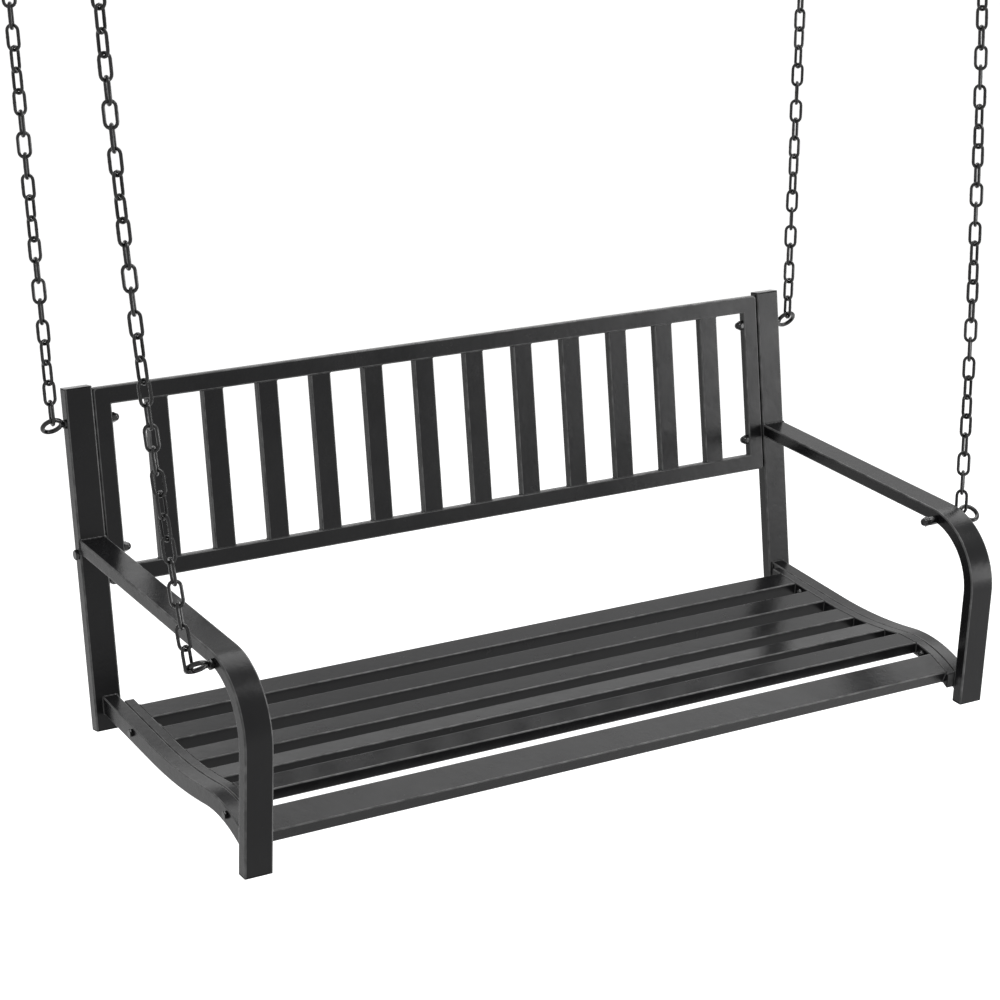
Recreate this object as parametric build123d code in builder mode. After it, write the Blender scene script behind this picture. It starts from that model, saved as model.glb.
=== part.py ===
import os
from math import atan2, cos, degrees, hypot, pi, radians, sin, sqrt, tan

from build123d import *

# Porch swing in millimetres: +X along the bench to the right as seen from its front, +Y to the
# back, +Z up. The origin is on the ceiling, midway between the two rear studs.

# Bench envelope, in the bench's own frame: back and up from the foot of the rear posts' front face.
BENCH_WIDTH = 1208.0
POST_WIDE = 40.0
POST_DEEP = 19.0
POST_LENGTH = 485.0
POST_LEAN = 11.05
ARM_TOP = 269.0
LEG_FRONT = -468.8
LEG_BOTTOM = -6.8
ARM_BEND = 95.5
TUBE_WALL = 1.5
TUBE_EDGE = 1.3
CAP_THICK = 2.0
FOOT_CAP_THICK = 3.0

# How the bench hangs: pitched forward about X so that its weight lies under the chains' meeting
# point, and how far the rear posts' feet are from the origin.
HANG_PITCH = 8.1
CEILING_ABOVE = 1090.0
CEILING_BEHIND = 5.4

# Backrest panel, welded from one flat tube.
PANEL_GAP = 1.8
PANEL_SETBACK = 1.5
PANEL_DEEP = 12.5
PANEL_TUBE = 25.0
PANEL_BOTTOM = 203.5
PANEL_TOP = 481.0
PANEL_CORNER = 5.0
PANEL_WALL = 1.8
BACK_SLATS = 12
BACK_SLAT_WIDE = 27.0
BACK_SLAT_PITCH = 85.2

# Seat. The contour of its upper surface falls straight from the posts, dips, and rolls over a
# crest to the front: the straight part by its height at the posts' face and its slope.
SEAT_UP = 47.3
SEAT_SLOPE = 1.85
DISH_STARTS = -152.0
DISH_RADIUS = 790.0
DISH_TURN = 12.2
CREST_RADIUS = 201.0
CREST_TURN = 45.0
RAIL_WIDE = 21.0
RAIL_DEEP = 20.0
RAIL_INSET = 12.8
SEAT_GAP = 1.8
SEAT_TUBE_WIDE = 21.0
SEAT_REAR = -14.0
SEAT_FRONT = -446.0
SEAT_SLATS = 6
SEAT_SLAT_WIDE = 42.0
SEAT_SLAT_DEEP = 13.0
SEAT_SLAT_PITCH = 74.5
FIRST_SLAT_BACK = -54.0

# Eye bolts and bolts.
SHANK = 3.8
HOLE_PLAY = 0.3
EYE_RING = 33.0
EYE_WIRE = 6.5
COLLAR_RADIUS = 6.5
COLLAR_THICK = 3.5
HEX_ACROSS = 13.0
NUT_THICK = 6.0
RING_GAP = 0.5
CAP_NUT_LENGTH = 12.0
HEAD_THICK = 5.3
SPACER_LENGTH = 15.0
REAR_EYE_UP = 436.0
LOWER_BOLT_UP = 253.0
BACK_BOLT_IN = 8.8
FRONT_EYE = (-376.0, 254.0)
SEAT_BOLT_RADIUS = 3.0
SEAT_HEX_ACROSS = 10.0
SEAT_HEAD_THICK = 4.3
SEAT_NUT_LENGTH = 9.0
SEAT_BOLTS_BACK = (-90.0, -388.0)

# Chains: welded links, inner length, outer width and wire of one link, and the turn from link to link.
LINK_INNER = 28.5
LINK_WIDE = 20.0
LINK_WIRE = 4.75
LINK_SEAT = 0.32
LINK_TURN = 102.9
LINK_WIRE_SIDES = 5
RING_WIRE_SIDES = 6
ROUND_SIDES = 8
FLANGE_SIDES = 12
BOW_SIDES = 3
RING_SIDES = 5
FRONT_LINKS = 30
REAR_LINKS = 21
FRONT_STUD_X = 680.3
FRONT_STUD_Y = -379.2
REAR_STUD_X = 647.4
CHAIN_SAG = 0.155

# Ceiling eyes.
STUD_RADIUS = 4.0
STUD_ABOVE = 60.0
NECK_RADIUS = 4.5
FLANGE_RADIUS = 13.0
FLANGE_THICK = 3.0

os.makedirs("parts", exist_ok=True)

PITCH = radians(HANG_PITCH)
LEAN = radians(POST_LEAN)
HALF = BENCH_WIDTH / 2
POST_IN = HALF - POST_WIDE
ARM_MID = ARM_TOP - POST_DEEP / 2
LEG_MID = LEG_FRONT + POST_DEEP / 2
WIRE_RADIUS = LINK_WIRE / 2
RING_RADIUS = (EYE_RING - EYE_WIRE) / 2
BACK = Vector(0, cos(PITCH), sin(PITCH))
UP = Vector(0, -sin(PITCH), cos(PITCH))
RIGHT = Vector(1, 0, 0)
BENCH_FOOT = Vector(0, -CEILING_BEHIND, -CEILING_ABOVE)


def bench(x, back, up):
    return BENCH_FOOT + RIGHT * x + BACK * back + UP * up


def side(x):
    """Plane across the bench at x: first axis back, second axis up."""
    return Plane(origin=bench(x, 0, 0), x_dir=BACK, z_dir=RIGHT)


# The backrest's directions: through the leaning posts and along them.
THROUGH = BACK * cos(LEAN) - UP * sin(LEAN)
ALONG = BACK * sin(LEAN) + UP * cos(LEAN)


def post_point(x, through, along):
    return bench(x, 0, 0) + THROUGH * through + ALONG * along


def post_side(x):
    """Plane across the bench at x: first axis through the posts, second axis along them."""
    return Plane(origin=bench(x, 0, 0), x_dir=THROUGH, z_dir=RIGHT)


def post_section(along):
    """Plane square to the posts: first axis right, second axis through."""
    return Plane(origin=post_point(0, 0, along), x_dir=RIGHT, z_dir=ALONG)


def post_face(through):
    """Plane of the backrest's face: first axis right, second axis along the posts."""
    return Plane(origin=post_point(0, through, 0), x_dir=RIGHT, z_dir=THROUGH * -1)


def small_round(radius, mode=Mode.ADD, sides=ROUND_SIDES):
    """Outline of a bolt, hole or nut: round stock this thin has a few flat sides."""
    RegularPolygon(radius, sides, mode=mode)


def save(part, name):
    part.label = name
    export_step(part, f"parts/{name}.step")


def bar_outline(wide, deep):
    """Rectangle with its four edges broken."""
    Rectangle(wide, deep)
    chamfer(vertices(), TUBE_EDGE)


def tube_outline(wide, deep, wall):
    bar_outline(wide, deep)
    Rectangle(wide - 2 * wall, deep - 2 * wall, mode=Mode.SUBTRACT)


# ---- side frames ---------------------------------------------------------------------------------


def rear_post(hand):
    centre = (hand * (HALF - POST_WIDE / 2), POST_DEEP / 2)
    with BuildPart() as post:
        with BuildSketch(post_section(CAP_THICK)):
            with Locations(centre):
                tube_outline(POST_WIDE, POST_DEEP, TUBE_WALL)
        extrude(amount=POST_LENGTH - 2 * CAP_THICK)
        with BuildSketch(post_side(0)):
            with Locations((BACK_BOLT_IN, REAR_EYE_UP), (BACK_BOLT_IN, LOWER_BOLT_UP)):
                small_round(SHANK + HOLE_PLAY)
        extrude(amount=hand * HALF, mode=Mode.SUBTRACT)
    return post.part


def post_caps():
    with BuildPart() as caps:
        for along in (0, POST_LENGTH - CAP_THICK):
            with BuildSketch(post_section(along)):
                with Locations(
                    (HALF - POST_WIDE / 2, POST_DEEP / 2),
                    (-HALF + POST_WIDE / 2, POST_DEEP / 2),
                ):
                    bar_outline(POST_WIDE, POST_DEEP)
            extrude(amount=CAP_THICK)
    return caps.part


def arm_tube(hand):
    middle = hand * (HALF - POST_WIDE / 2)
    with BuildPart() as arm:
        with BuildLine(side(middle)) as path:
            flat = Line((2 * POST_LENGTH * sin(LEAN) / 3, ARM_MID), (LEG_MID + ARM_BEND, ARM_MID))
            bend = JernArc(flat @ 1, flat % 1, ARM_BEND, 90)
            Line(bend @ 1, (LEG_MID, LEG_BOTTOM + FOOT_CAP_THICK))
        with BuildSketch(Plane(origin=path.line @ 0, x_dir=RIGHT, z_dir=path.line % 0)):
            tube_outline(POST_WIDE, POST_DEEP, TUBE_WALL)
        sweep(path=path.line)
        split(bisect_by=post_face(0), keep=Keep.TOP)
        with BuildSketch(side(0)):
            with Locations(FRONT_EYE):
                small_round(SHANK + HOLE_PLAY)
        extrude(amount=hand * HALF, mode=Mode.SUBTRACT)
    return arm.part


def foot_caps():
    with BuildPart() as caps:
        with BuildSketch(Plane(origin=bench(0, LEG_MID, LEG_BOTTOM), x_dir=RIGHT, z_dir=UP)):
            with Locations((HALF - POST_WIDE / 2, 0), (-HALF + POST_WIDE / 2, 0)):
                bar_outline(POST_WIDE, POST_DEEP)
        extrude(amount=FOOT_CAP_THICK)
    return caps.part


# ---- seat ----------------------------------------------------------------------------------------


def contour(down):
    """Line at a depth under the seat's upper surface, from behind the posts to past the legs."""
    slope = radians(SEAT_SLOPE)
    points = []
    for back in (2 * RAIL_DEEP, DISH_STARTS):
        up = SEAT_UP + back * tan(slope)
        points.append((back + down * sin(slope), up - down * cos(slope)))
    with BuildLine(Plane.XY) as line:
        flat = Line(*points)
        dish = JernArc(flat @ 1, flat % 1, DISH_RADIUS + down, -DISH_TURN)
        JernArc(dish @ 1, dish % 1, CREST_RADIUS - down, CREST_TURN)
    return line.wire()


CONTOUR = contour(0)


def contour_tube(x, wide, rear, front):
    """Drilled tube under the seat contour, centred on x, between two planes that face outwards."""
    with BuildPart() as tube:
        for wall, mode in ((0, Mode.ADD), (TUBE_WALL, Mode.SUBTRACT)):
            top, under = contour(wall), contour(RAIL_DEEP - wall)
            with BuildSketch(side(x - wide / 2 + wall)):
                with BuildLine():
                    add(top)
                    add(under)
                    Line(top @ 0, under @ 0)
                    Line(top @ 1, under @ 1)
                make_face()
            extrude(amount=wide - 2 * wall, mode=mode)
        split(bisect_by=rear, keep=Keep.BOTTOM)
        split(bisect_by=front, keep=Keep.BOTTOM)
        with BuildSketch(side(0)):
            with Locations(*[(back, bolt_up(back)) for back in SEAT_BOLTS_BACK]):
                small_round(SEAT_BOLT_RADIUS + HOLE_PLAY)
        extrude(amount=2 * x, mode=Mode.SUBTRACT)
    return tube.part


RAIL_X = HALF - RAIL_INSET - RAIL_WIDE / 2
SEAT_TUBE_X = RAIL_X - RAIL_WIDE / 2 - SEAT_GAP - SEAT_TUBE_WIDE / 2
SEAT_IN = SEAT_TUBE_X - SEAT_TUBE_WIDE / 2
LEG_REAR = LEG_FRONT + POST_DEEP


def facing(back, up, direction):
    return Plane(origin=bench(0, back, up), x_dir=RIGHT, z_dir=direction)


def contour_spot(along):
    """Back, up and tilt of the seat contour at a length along it."""
    point = CONTOUR.position_at(along, position_mode=PositionMode.LENGTH)
    slope = CONTOUR.tangent_at(along, position_mode=PositionMode.LENGTH)
    return point.X, point.Y, degrees(atan2(-slope.Y, -slope.X))


def contour_at(back):
    """Back, up and tilt of the seat contour at a distance back."""
    low, high = 0.0, CONTOUR.length
    while high - low > 0.001:
        middle = (low + high) / 2
        if contour_spot(middle)[0] > back:
            low = middle
        else:
            high = middle
    return contour_spot(low)


def seat_slat_places():
    """Back, up and tilt of every slat's top centre, spaced evenly along the contour."""
    first = (2 * RAIL_DEEP - FIRST_SLAT_BACK) / cos(radians(SEAT_SLOPE))
    return [contour_spot(first + number * SEAT_SLAT_PITCH) for number in range(SEAT_SLATS)]


def bolt_up(back):
    """Height of a seat bolt: the middle of the side tube under the contour."""
    _, up, tilt = contour_at(back)
    return up - RAIL_DEEP / 2 / cos(radians(tilt))


def seat_rail(hand):
    post_front = Plane(origin=post_point(0, 0, 0), x_dir=RIGHT, z_dir=THROUGH)
    return contour_tube(hand * RAIL_X, RAIL_WIDE, post_front, facing(LEG_REAR, 0, BACK * -1))


def seat_side(hand):
    rear, front = facing(SEAT_REAR, 0, BACK), facing(SEAT_FRONT, 0, BACK * -1)
    return contour_tube(hand * SEAT_TUBE_X, SEAT_TUBE_WIDE, rear, front)


def seat_plugs():
    """Flat plates that close the four ends of the seat's side tubes."""
    with BuildPart() as plugs:
        for back, direction in ((SEAT_REAR, 1), (SEAT_FRONT, -1)):
            _, _, tilt = contour_at(back)
            with BuildSketch(facing(back, bolt_up(back), BACK * direction)):
                with Locations((SEAT_TUBE_X, 0), (-SEAT_TUBE_X, 0)):
                    Rectangle(SEAT_TUBE_WIDE, RAIL_DEEP / cos(radians(tilt)))
            extrude(amount=CAP_THICK / 2)
    return plugs.part


def seat_slat(place):
    back, up, tilt = place
    with BuildPart() as slat:
        with BuildSketch(side(-SEAT_IN)):
            with Locations(Location((back, up, 0), (0, 0, tilt))):
                with Locations((0, -SEAT_SLAT_DEEP / 2)):
                    tube_outline(SEAT_SLAT_WIDE, SEAT_SLAT_DEEP, TUBE_WALL)
        extrude(amount=2 * SEAT_IN)
    return slat.part


# ---- backrest panel ------------------------------------------------------------------------------

PANEL_HALF = POST_IN - PANEL_GAP
PANEL_MID = PANEL_SETBACK + PANEL_DEEP / 2
PANEL_HEIGHT = PANEL_TOP - PANEL_BOTTOM


def mitre(x, along, turn):
    """Plane at 45 degrees through a corner of the panel; turn picks the side it faces."""
    corner = post_point(x, 0, along)
    return Plane(origin=corner, x_dir=THROUGH, z_dir=RIGHT * turn[0] + ALONG * turn[1])


def round_corners():
    """Trims the part being built to the panel's outline."""
    with BuildSketch(post_face(PANEL_SETBACK + 2 * PANEL_DEEP)) as outline:
        with Locations((0, (PANEL_TOP + PANEL_BOTTOM) / 2)):
            RectangleRounded(2 * PANEL_HALF, PANEL_HEIGHT, PANEL_CORNER)
    extrude(outline.sketch, amount=3 * PANEL_DEEP, mode=Mode.INTERSECT)


def panel_rail(along, inward):
    """Top or bottom rail, mitred at both ends; inward is +1 when the panel lies above it."""
    edge = along - inward * PANEL_TUBE / 2
    with BuildPart() as rail:
        with BuildSketch(post_side(-PANEL_HALF)):
            with Locations((PANEL_MID, along)):
                tube_outline(PANEL_DEEP, PANEL_TUBE, PANEL_WALL)
        extrude(amount=2 * PANEL_HALF)
        for hand in (-1, 1):
            split(bisect_by=mitre(hand * PANEL_HALF, edge, (hand, inward)), keep=Keep.BOTTOM)
        round_corners()
    return rail.part


def panel_stile(hand):
    middle = hand * (PANEL_HALF - PANEL_TUBE / 2)
    with BuildPart() as stile:
        with BuildSketch(post_section(PANEL_BOTTOM)):
            with Locations((middle, PANEL_MID)):
                tube_outline(PANEL_TUBE, PANEL_DEEP, PANEL_WALL)
        extrude(amount=PANEL_HEIGHT)
        split(bisect_by=mitre(hand * PANEL_HALF, PANEL_TOP, (hand, -1)), keep=Keep.TOP)
        split(bisect_by=mitre(hand * PANEL_HALF, PANEL_BOTTOM, (hand, 1)), keep=Keep.TOP)
        round_corners()
        with BuildSketch(post_side(0)):
            with Locations((BACK_BOLT_IN, REAR_EYE_UP), (BACK_BOLT_IN, LOWER_BOLT_UP)):
                small_round(SHANK + HOLE_PLAY)
        extrude(amount=hand * HALF, mode=Mode.SUBTRACT)
    return stile.part


def back_slat(number):
    x = (number - (BACK_SLATS - 1) / 2) * BACK_SLAT_PITCH
    with BuildPart() as slat:
        with BuildSketch(post_section(PANEL_BOTTOM + PANEL_TUBE)):
            with Locations((x, PANEL_MID)):
                tube_outline(BACK_SLAT_WIDE, PANEL_DEEP, TUBE_WALL)
        extrude(amount=PANEL_HEIGHT - 2 * PANEL_TUBE)
    return slat.part


# ---- bent wire: rings and links -------------------------------------------------------------------


def wire_plane(centre, across, axis):
    """Plane of a bent wire: across is its first axis, axis its second."""
    return Plane(origin=centre, x_dir=across, z_dir=across.cross(axis))


def bend_points(radius, half_straight, sides):
    """Corners of a loop of straight pieces: two sides joined by half turns, from the right side."""
    step = pi / (sides + 1)
    reach = radius / cos(step / 2)
    points = [(radius, 0)]
    for half_turn, middle in ((0, half_straight), (pi, -half_straight)):
        for number in range(sides + 1):
            angle = half_turn + step * (number + 0.5)
            points.append((reach * cos(angle), middle + reach * sin(angle)))
    return points + [(radius, 0)]


def bent_wire(plane, radius, half_straight, sides, wire_radius, wire_sides):
    """Adds one closed loop of many-sided wire to the part being built."""
    with BuildLine(plane) as path:
        Polyline(*bend_points(radius, half_straight, sides))
    with BuildSketch(Plane(origin=path.line @ 0, x_dir=plane.x_dir, z_dir=path.line % 0)) as wire:
        RegularPolygon(wire_radius, wire_sides)
    sweep(wire.sketch, path=path.line, transition=Transition.RIGHT)


def ring(plane):
    """Adds one eye of wire, the middle of one flat side on the plane's second axis."""
    bent_wire(plane, RING_RADIUS, 0, RING_SIDES, EYE_WIRE / 2, RING_WIRE_SIDES)


# ---- bolts -----------------------------------------------------------------------------------------


def rod(plane, place, radius, start, length, hand, mode=Mode.ADD):
    """Cylinder along X outward on one hand, from start to start + length."""
    with BuildSketch(plane(hand * start)) as end:
        with Locations(place):
            small_round(radius)
    extrude(end.sketch, amount=hand * length, mode=mode)


def hexagon(plane, place, across, start, length, hand, hole):
    with BuildSketch(plane(hand * start)) as end:
        with Locations(place):
            RegularPolygon(across / 2, 6, major_radius=False)
            if hole:
                small_round(hole, Mode.SUBTRACT)
    extrude(end.sketch, amount=hand * length)


REAR_PLACE = (BACK_BOLT_IN, REAR_EYE_UP)
LOWER_PLACE = (BACK_BOLT_IN, LOWER_BOLT_UP)
STILE_IN = PANEL_HALF - PANEL_TUBE
NUT_CAVITY = 0.6 * CAP_NUT_LENGTH
REAR_RING_X = HALF + COLLAR_THICK + EYE_RING / 2
FRONT_RING_X = HALF + NUT_THICK + RING_GAP + EYE_RING / 2

# Ring tilt is how far the ring's top leans back from plumb to the bench; grip is where the chain's
# last link hangs on it, as an angle outward from the ring's top.
EYES = {
    "rear_left": dict(hand=-1, tilt=-36, grip=10),
    "rear_right": dict(hand=1, tilt=-31, grip=-12),
    "front_left": dict(hand=-1, tilt=-45, grip=65),
    "front_right": dict(hand=1, tilt=60, grip=-35),
}


def eye_centre(name):
    hand = EYES[name]["hand"]
    if name.startswith("rear"):
        return post_point(hand * REAR_RING_X, *REAR_PLACE)
    return bench(hand * FRONT_RING_X, *FRONT_EYE)


def eye_axes(name):
    """Outward and upward directions in the ring's own plane."""
    tilt = radians(EYES[name]["tilt"])
    return RIGHT * EYES[name]["hand"], UP * cos(tilt) + BACK * sin(tilt)


def grip_point(name):
    """Centre of the ring's wire where the chain holds it, and the wire's direction there."""
    out, top = eye_axes(name)
    angle = radians(EYES[name]["grip"])
    point = eye_centre(name) + (top * cos(angle) + out * sin(angle)) * RING_RADIUS
    return point, out * cos(angle) - top * sin(angle)


def eye_bolts(end):
    """Both eye bolts of one end: ring, collar and shank in one forging."""
    rear = end == "rear"
    plane, place = (post_side, REAR_PLACE) if rear else (side, FRONT_EYE)
    ring_x = REAR_RING_X if rear else FRONT_RING_X
    nut_face = STILE_IN if rear else POST_IN - SPACER_LENGTH
    tip = nut_face - NUT_CAVITY
    with BuildPart() as bolts:
        for name in (f"{end}_left", f"{end}_right"):
            hand = EYES[name]["hand"]
            centre = eye_centre(name)
            grip, along = grip_point(name)
            ring_plane = wire_plane(centre, along, (grip - centre).normalized())
            ring(ring_plane)
            rod(plane, place, SHANK, tip, ring_x - RING_RADIUS - tip, hand)
            if rear:
                rod(plane, place, COLLAR_RADIUS, HALF, COLLAR_THICK, hand)
    return bolts.part


def cap_nut(plane, place, across, face, length, bore, hand):
    """Domed nut whose flat side sits at x = face and whose dome points inward."""
    hex_length = 0.5 * length
    hexagon(plane, place, across, face, -hex_length, hand, 0)
    dome = across * 0.46
    with BuildSketch(plane(hand * (face - hex_length))) as end:
        with Locations(place):
            small_round(dome)
    extrude(end.sketch, amount=-hand * (length - hex_length), taper=35)
    if bore:
        rod(plane, place, bore, face, -NUT_CAVITY, hand, Mode.SUBTRACT)


def eye_bolt_nuts():
    """Cap nuts on the inner ends of the four eye bolts and of the two lower backrest bolts."""
    with BuildPart() as nuts:
        for hand in (-1, 1):
            for plane, place, face in (
                (post_side, REAR_PLACE, STILE_IN),
                (post_side, LOWER_PLACE, STILE_IN),
                (side, FRONT_EYE, POST_IN - SPACER_LENGTH),
            ):
                cap_nut(plane, place, HEX_ACROSS, face, CAP_NUT_LENGTH, SHANK, hand)
    return nuts.part


def arm_spacers():
    """Tube between the arm's inner face and the front cap nuts."""
    with BuildPart() as spacers:
        for hand in (-1, 1):
            with BuildSketch(side(hand * (POST_IN - SPACER_LENGTH))):
                with Locations(FRONT_EYE):
                    small_round(COLLAR_RADIUS)
                    small_round(SHANK, Mode.SUBTRACT)
            extrude(amount=hand * SPACER_LENGTH)
    return spacers.part


def arm_nuts():
    """Plain nuts between the front rings and the arms."""
    with BuildPart() as nuts:
        for hand in (-1, 1):
            hexagon(side, FRONT_EYE, HEX_ACROSS, HALF, NUT_THICK, hand, SHANK)
    return nuts.part


def back_bolts():
    """Lower backrest bolts: head outside the post, shank through post and stile."""
    with BuildPart() as bolts:
        for hand in (-1, 1):
            hexagon(post_side, LOWER_PLACE, HEX_ACROSS, HALF, HEAD_THICK, hand, 0)
            tip = STILE_IN - NUT_CAVITY
            rod(post_side, LOWER_PLACE, SHANK, tip, HALF - tip, hand)
    return bolts.part


RAIL_OUT = RAIL_X + RAIL_WIDE / 2


def seat_bolts():
    """Bolts through rail and side tube, each with its cap nut run tight on it."""
    with BuildPart() as bolts:
        for hand in (-1, 1):
            for back in SEAT_BOLTS_BACK:
                place = (back, bolt_up(back))
                hexagon(side, place, SEAT_HEX_ACROSS, RAIL_OUT, SEAT_HEAD_THICK, hand, 0)
                rod(side, place, SEAT_BOLT_RADIUS, SEAT_IN, RAIL_OUT - SEAT_IN, hand)
                cap_nut(side, place, SEAT_HEX_ACROSS, SEAT_IN, SEAT_NUT_LENGTH, 0, hand)
    return bolts.part


# ---- chains ----------------------------------------------------------------------------------------


def chain_ends(name):
    """Grip on both rings, sideways bow, number of links, and the first link's drop under its grip.

    A ring's wire that crosses the link at a slant takes up more of the link's length.
    """
    hand = EYES[name]["hand"]
    rear = name.startswith("rear")
    foot, wire = grip_point(name)
    stud = Vector(REAR_STUD_X * hand, 0) if rear else Vector(FRONT_STUD_X * hand, FRONT_STUD_Y)
    links = REAR_LINKS if rear else FRONT_LINKS
    drop = EYE_WIRE / 2 / wire.cross((stud - foot).normalized()).length
    span = links * LINK_INNER - drop - EYE_WIRE / 2 - (links + 1) * LINK_SEAT
    level = hypot(stud.X - foot.X, stud.Y - foot.Y)
    head = Vector(stud.X, stud.Y, foot.Z + sqrt(span**2 - level**2))
    bow = Vector(0, 0, 0) if rear else Vector(head.X - foot.X, head.Y - foot.Y, 0) * CHAIN_SAG
    return foot, head, bow, links, drop


def chain_point(foot, head, bow, share):
    return foot + (head - foot) * share + bow * (4 * share * (1 - share))


def link_frames(name):
    """Centre, axis and normal of every link, from the bench ring to the ceiling ring."""
    foot, head, bow, links, drop = chain_ends(name)
    _, tangent = grip_point(name)
    inset = drop - LINK_INNER / 2 + LINK_SEAT
    span = (head - foot).length
    frames = []
    for number in range(links):
        share = (number * (LINK_INNER - LINK_SEAT) - inset) / span
        centre = chain_point(foot, head, bow, share)
        step = 1e-4
        axis = (
            chain_point(foot, head, bow, share + step) - chain_point(foot, head, bow, share - step)
        ).normalized()
        normal = (tangent - axis * tangent.dot(axis)).normalized()
        turn = radians(number * LINK_TURN)
        normal = normal * cos(turn) + axis.cross(normal) * sin(turn)
        frames.append((centre, axis, normal))
    return frames


def link():
    radius = (LINK_WIDE - LINK_WIRE) / 2
    half_straight = (LINK_INNER + LINK_WIRE) / 2 - radius
    with BuildPart() as one:
        bent_wire(Plane.XY, radius, half_straight, BOW_SIDES, WIRE_RADIUS, LINK_WIRE_SIDES)
    return one.part


def chain(name, one_link):
    places = [
        Plane(origin=centre, x_dir=axis.cross(normal), z_dir=normal).location
        for centre, axis, normal in link_frames(name)
    ]
    with BuildPart() as links:
        with Locations(*places):
            add(one_link)
    return links.part


def ceiling_ring(name):
    """Centre of the ceiling ring and the direction across its plane."""
    _, head, _, _, _ = chain_ends(name)
    _, _, normal = link_frames(name)[-1]
    across = Vector(normal.X, normal.Y, 0).normalized()
    return head + Vector(0, 0, RING_RADIUS), across


def ceiling_eye(name):
    """Shouldered eye: ring, neck, flange against the ceiling and stud."""
    centre, across = ceiling_ring(name)
    neck = centre.Z + RING_RADIUS
    with BuildPart() as eye:
        ring(wire_plane(centre, across, Vector(0, 0, 1)))
        with BuildSketch(Plane.XY.offset(neck)):
            with Locations((centre.X, centre.Y)):
                small_round(NECK_RADIUS)
        extrude(amount=-neck)
        with BuildSketch(Plane.XY.offset(-FLANGE_THICK)):
            with Locations((centre.X, centre.Y)):
                small_round(FLANGE_RADIUS, sides=FLANGE_SIDES)
        extrude(amount=FLANGE_THICK)
        with BuildSketch(Plane.XY):
            with Locations((centre.X, centre.Y)):
                Circle(STUD_RADIUS)
        extrude(amount=STUD_ABOVE)
    return eye.part


for hand, word in ((-1, "left"), (1, "right")):
    save(rear_post(hand), f"{word}_rear_post")
    save(arm_tube(hand), f"{word}_arm_tube")
    save(seat_rail(hand), f"{word}_seat_rail")
    save(seat_side(hand), f"{word}_seat_side_tube")
    save(panel_stile(hand), f"{word}_backrest_stile")
save(post_caps(), "post_caps")
save(foot_caps(), "foot_caps")
save(panel_rail(PANEL_TOP - PANEL_TUBE / 2, -1), "backrest_top_rail")
save(panel_rail(PANEL_BOTTOM + PANEL_TUBE / 2, 1), "backrest_bottom_rail")
for number in range(BACK_SLATS):
    save(back_slat(number), f"backrest_slat_{number + 1:02d}")
for number, place in enumerate(seat_slat_places()):
    save(seat_slat(place), f"seat_slat_{number + 1}")
save(seat_plugs(), "seat_tube_plugs")
save(eye_bolts("rear"), "rear_eye_bolts")
save(eye_bolts("front"), "front_eye_bolts")
save(eye_bolt_nuts(), "cap_nuts")
save(arm_spacers(), "arm_spacers")
save(arm_nuts(), "arm_nuts")
save(back_bolts(), "backrest_bolts")
save(seat_bolts(), "seat_bolts")
one_link = link()
for name in EYES:
    save(chain(name, one_link), f"{name}_chain")
    save(ceiling_eye(name), f"{name}_ceiling_eye")
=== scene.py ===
import math

import bmesh
import bpy
import numpy as np
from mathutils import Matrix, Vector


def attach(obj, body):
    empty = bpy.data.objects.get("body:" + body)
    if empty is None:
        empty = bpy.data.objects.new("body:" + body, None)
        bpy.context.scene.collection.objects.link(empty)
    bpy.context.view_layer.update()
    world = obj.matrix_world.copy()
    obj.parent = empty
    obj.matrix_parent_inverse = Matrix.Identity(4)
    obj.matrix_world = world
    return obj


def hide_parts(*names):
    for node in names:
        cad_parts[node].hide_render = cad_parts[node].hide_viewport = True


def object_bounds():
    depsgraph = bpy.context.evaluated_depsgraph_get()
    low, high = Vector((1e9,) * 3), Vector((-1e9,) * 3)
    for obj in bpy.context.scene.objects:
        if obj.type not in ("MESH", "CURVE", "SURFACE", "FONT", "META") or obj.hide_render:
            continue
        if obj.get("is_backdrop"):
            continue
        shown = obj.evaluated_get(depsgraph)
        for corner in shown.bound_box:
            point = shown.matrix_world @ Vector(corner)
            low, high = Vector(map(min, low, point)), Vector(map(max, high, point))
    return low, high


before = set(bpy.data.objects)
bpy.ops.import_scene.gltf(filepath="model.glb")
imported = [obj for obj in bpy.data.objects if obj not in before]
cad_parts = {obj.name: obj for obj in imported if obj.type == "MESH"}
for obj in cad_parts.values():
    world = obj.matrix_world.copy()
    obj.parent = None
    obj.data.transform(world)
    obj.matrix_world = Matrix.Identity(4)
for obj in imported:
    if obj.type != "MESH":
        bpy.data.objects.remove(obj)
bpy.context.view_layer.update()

scene = bpy.context.scene
right = np.array([1.0, 0.0, 0.0])
plumb = np.array([0.0, 0.0, 1.0])

# How the bench hangs: foot of the rear posts' front face, metres, and its pitch, degrees.
hang = {"foot": (0.0, -0.0054, -1.09), "pitch": 8.1}
pitch = math.radians(hang["pitch"])
benchBack = np.array([0.0, math.cos(pitch), math.sin(pitch)])
benchUp = np.array([0.0, -math.sin(pitch), math.cos(pitch)])


def spread(*values):
    # numbers or arrays brought to one shape, each with one more axis for x, y and z
    return np.broadcast_arrays(*[np.asarray(value, float)[..., None] for value in values])


def bench(x, back, up):
    # point = foot + x right + back benchBack + up benchUp, for numbers or whole arrays
    x, back, up = spread(x, back, up)
    return np.array(hang["foot"]) + x * right + back * benchBack + up * benchUp


# Directions of the leaning backrest: through it and along it.
post = {"wide": 0.040, "deep": 0.019, "long": 0.485, "lean": 11.05, "half": 0.604, "edge": 0.0021,
        "endEdge": 0.0003}
lean = math.radians(post["lean"])
through = math.cos(lean) * benchBack - math.sin(lean) * benchUp
along = math.sin(lean) * benchBack + math.cos(lean) * benchUp
postIn = post["half"] - post["wide"]
postMid = post["half"] - post["wide"] / 2


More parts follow.
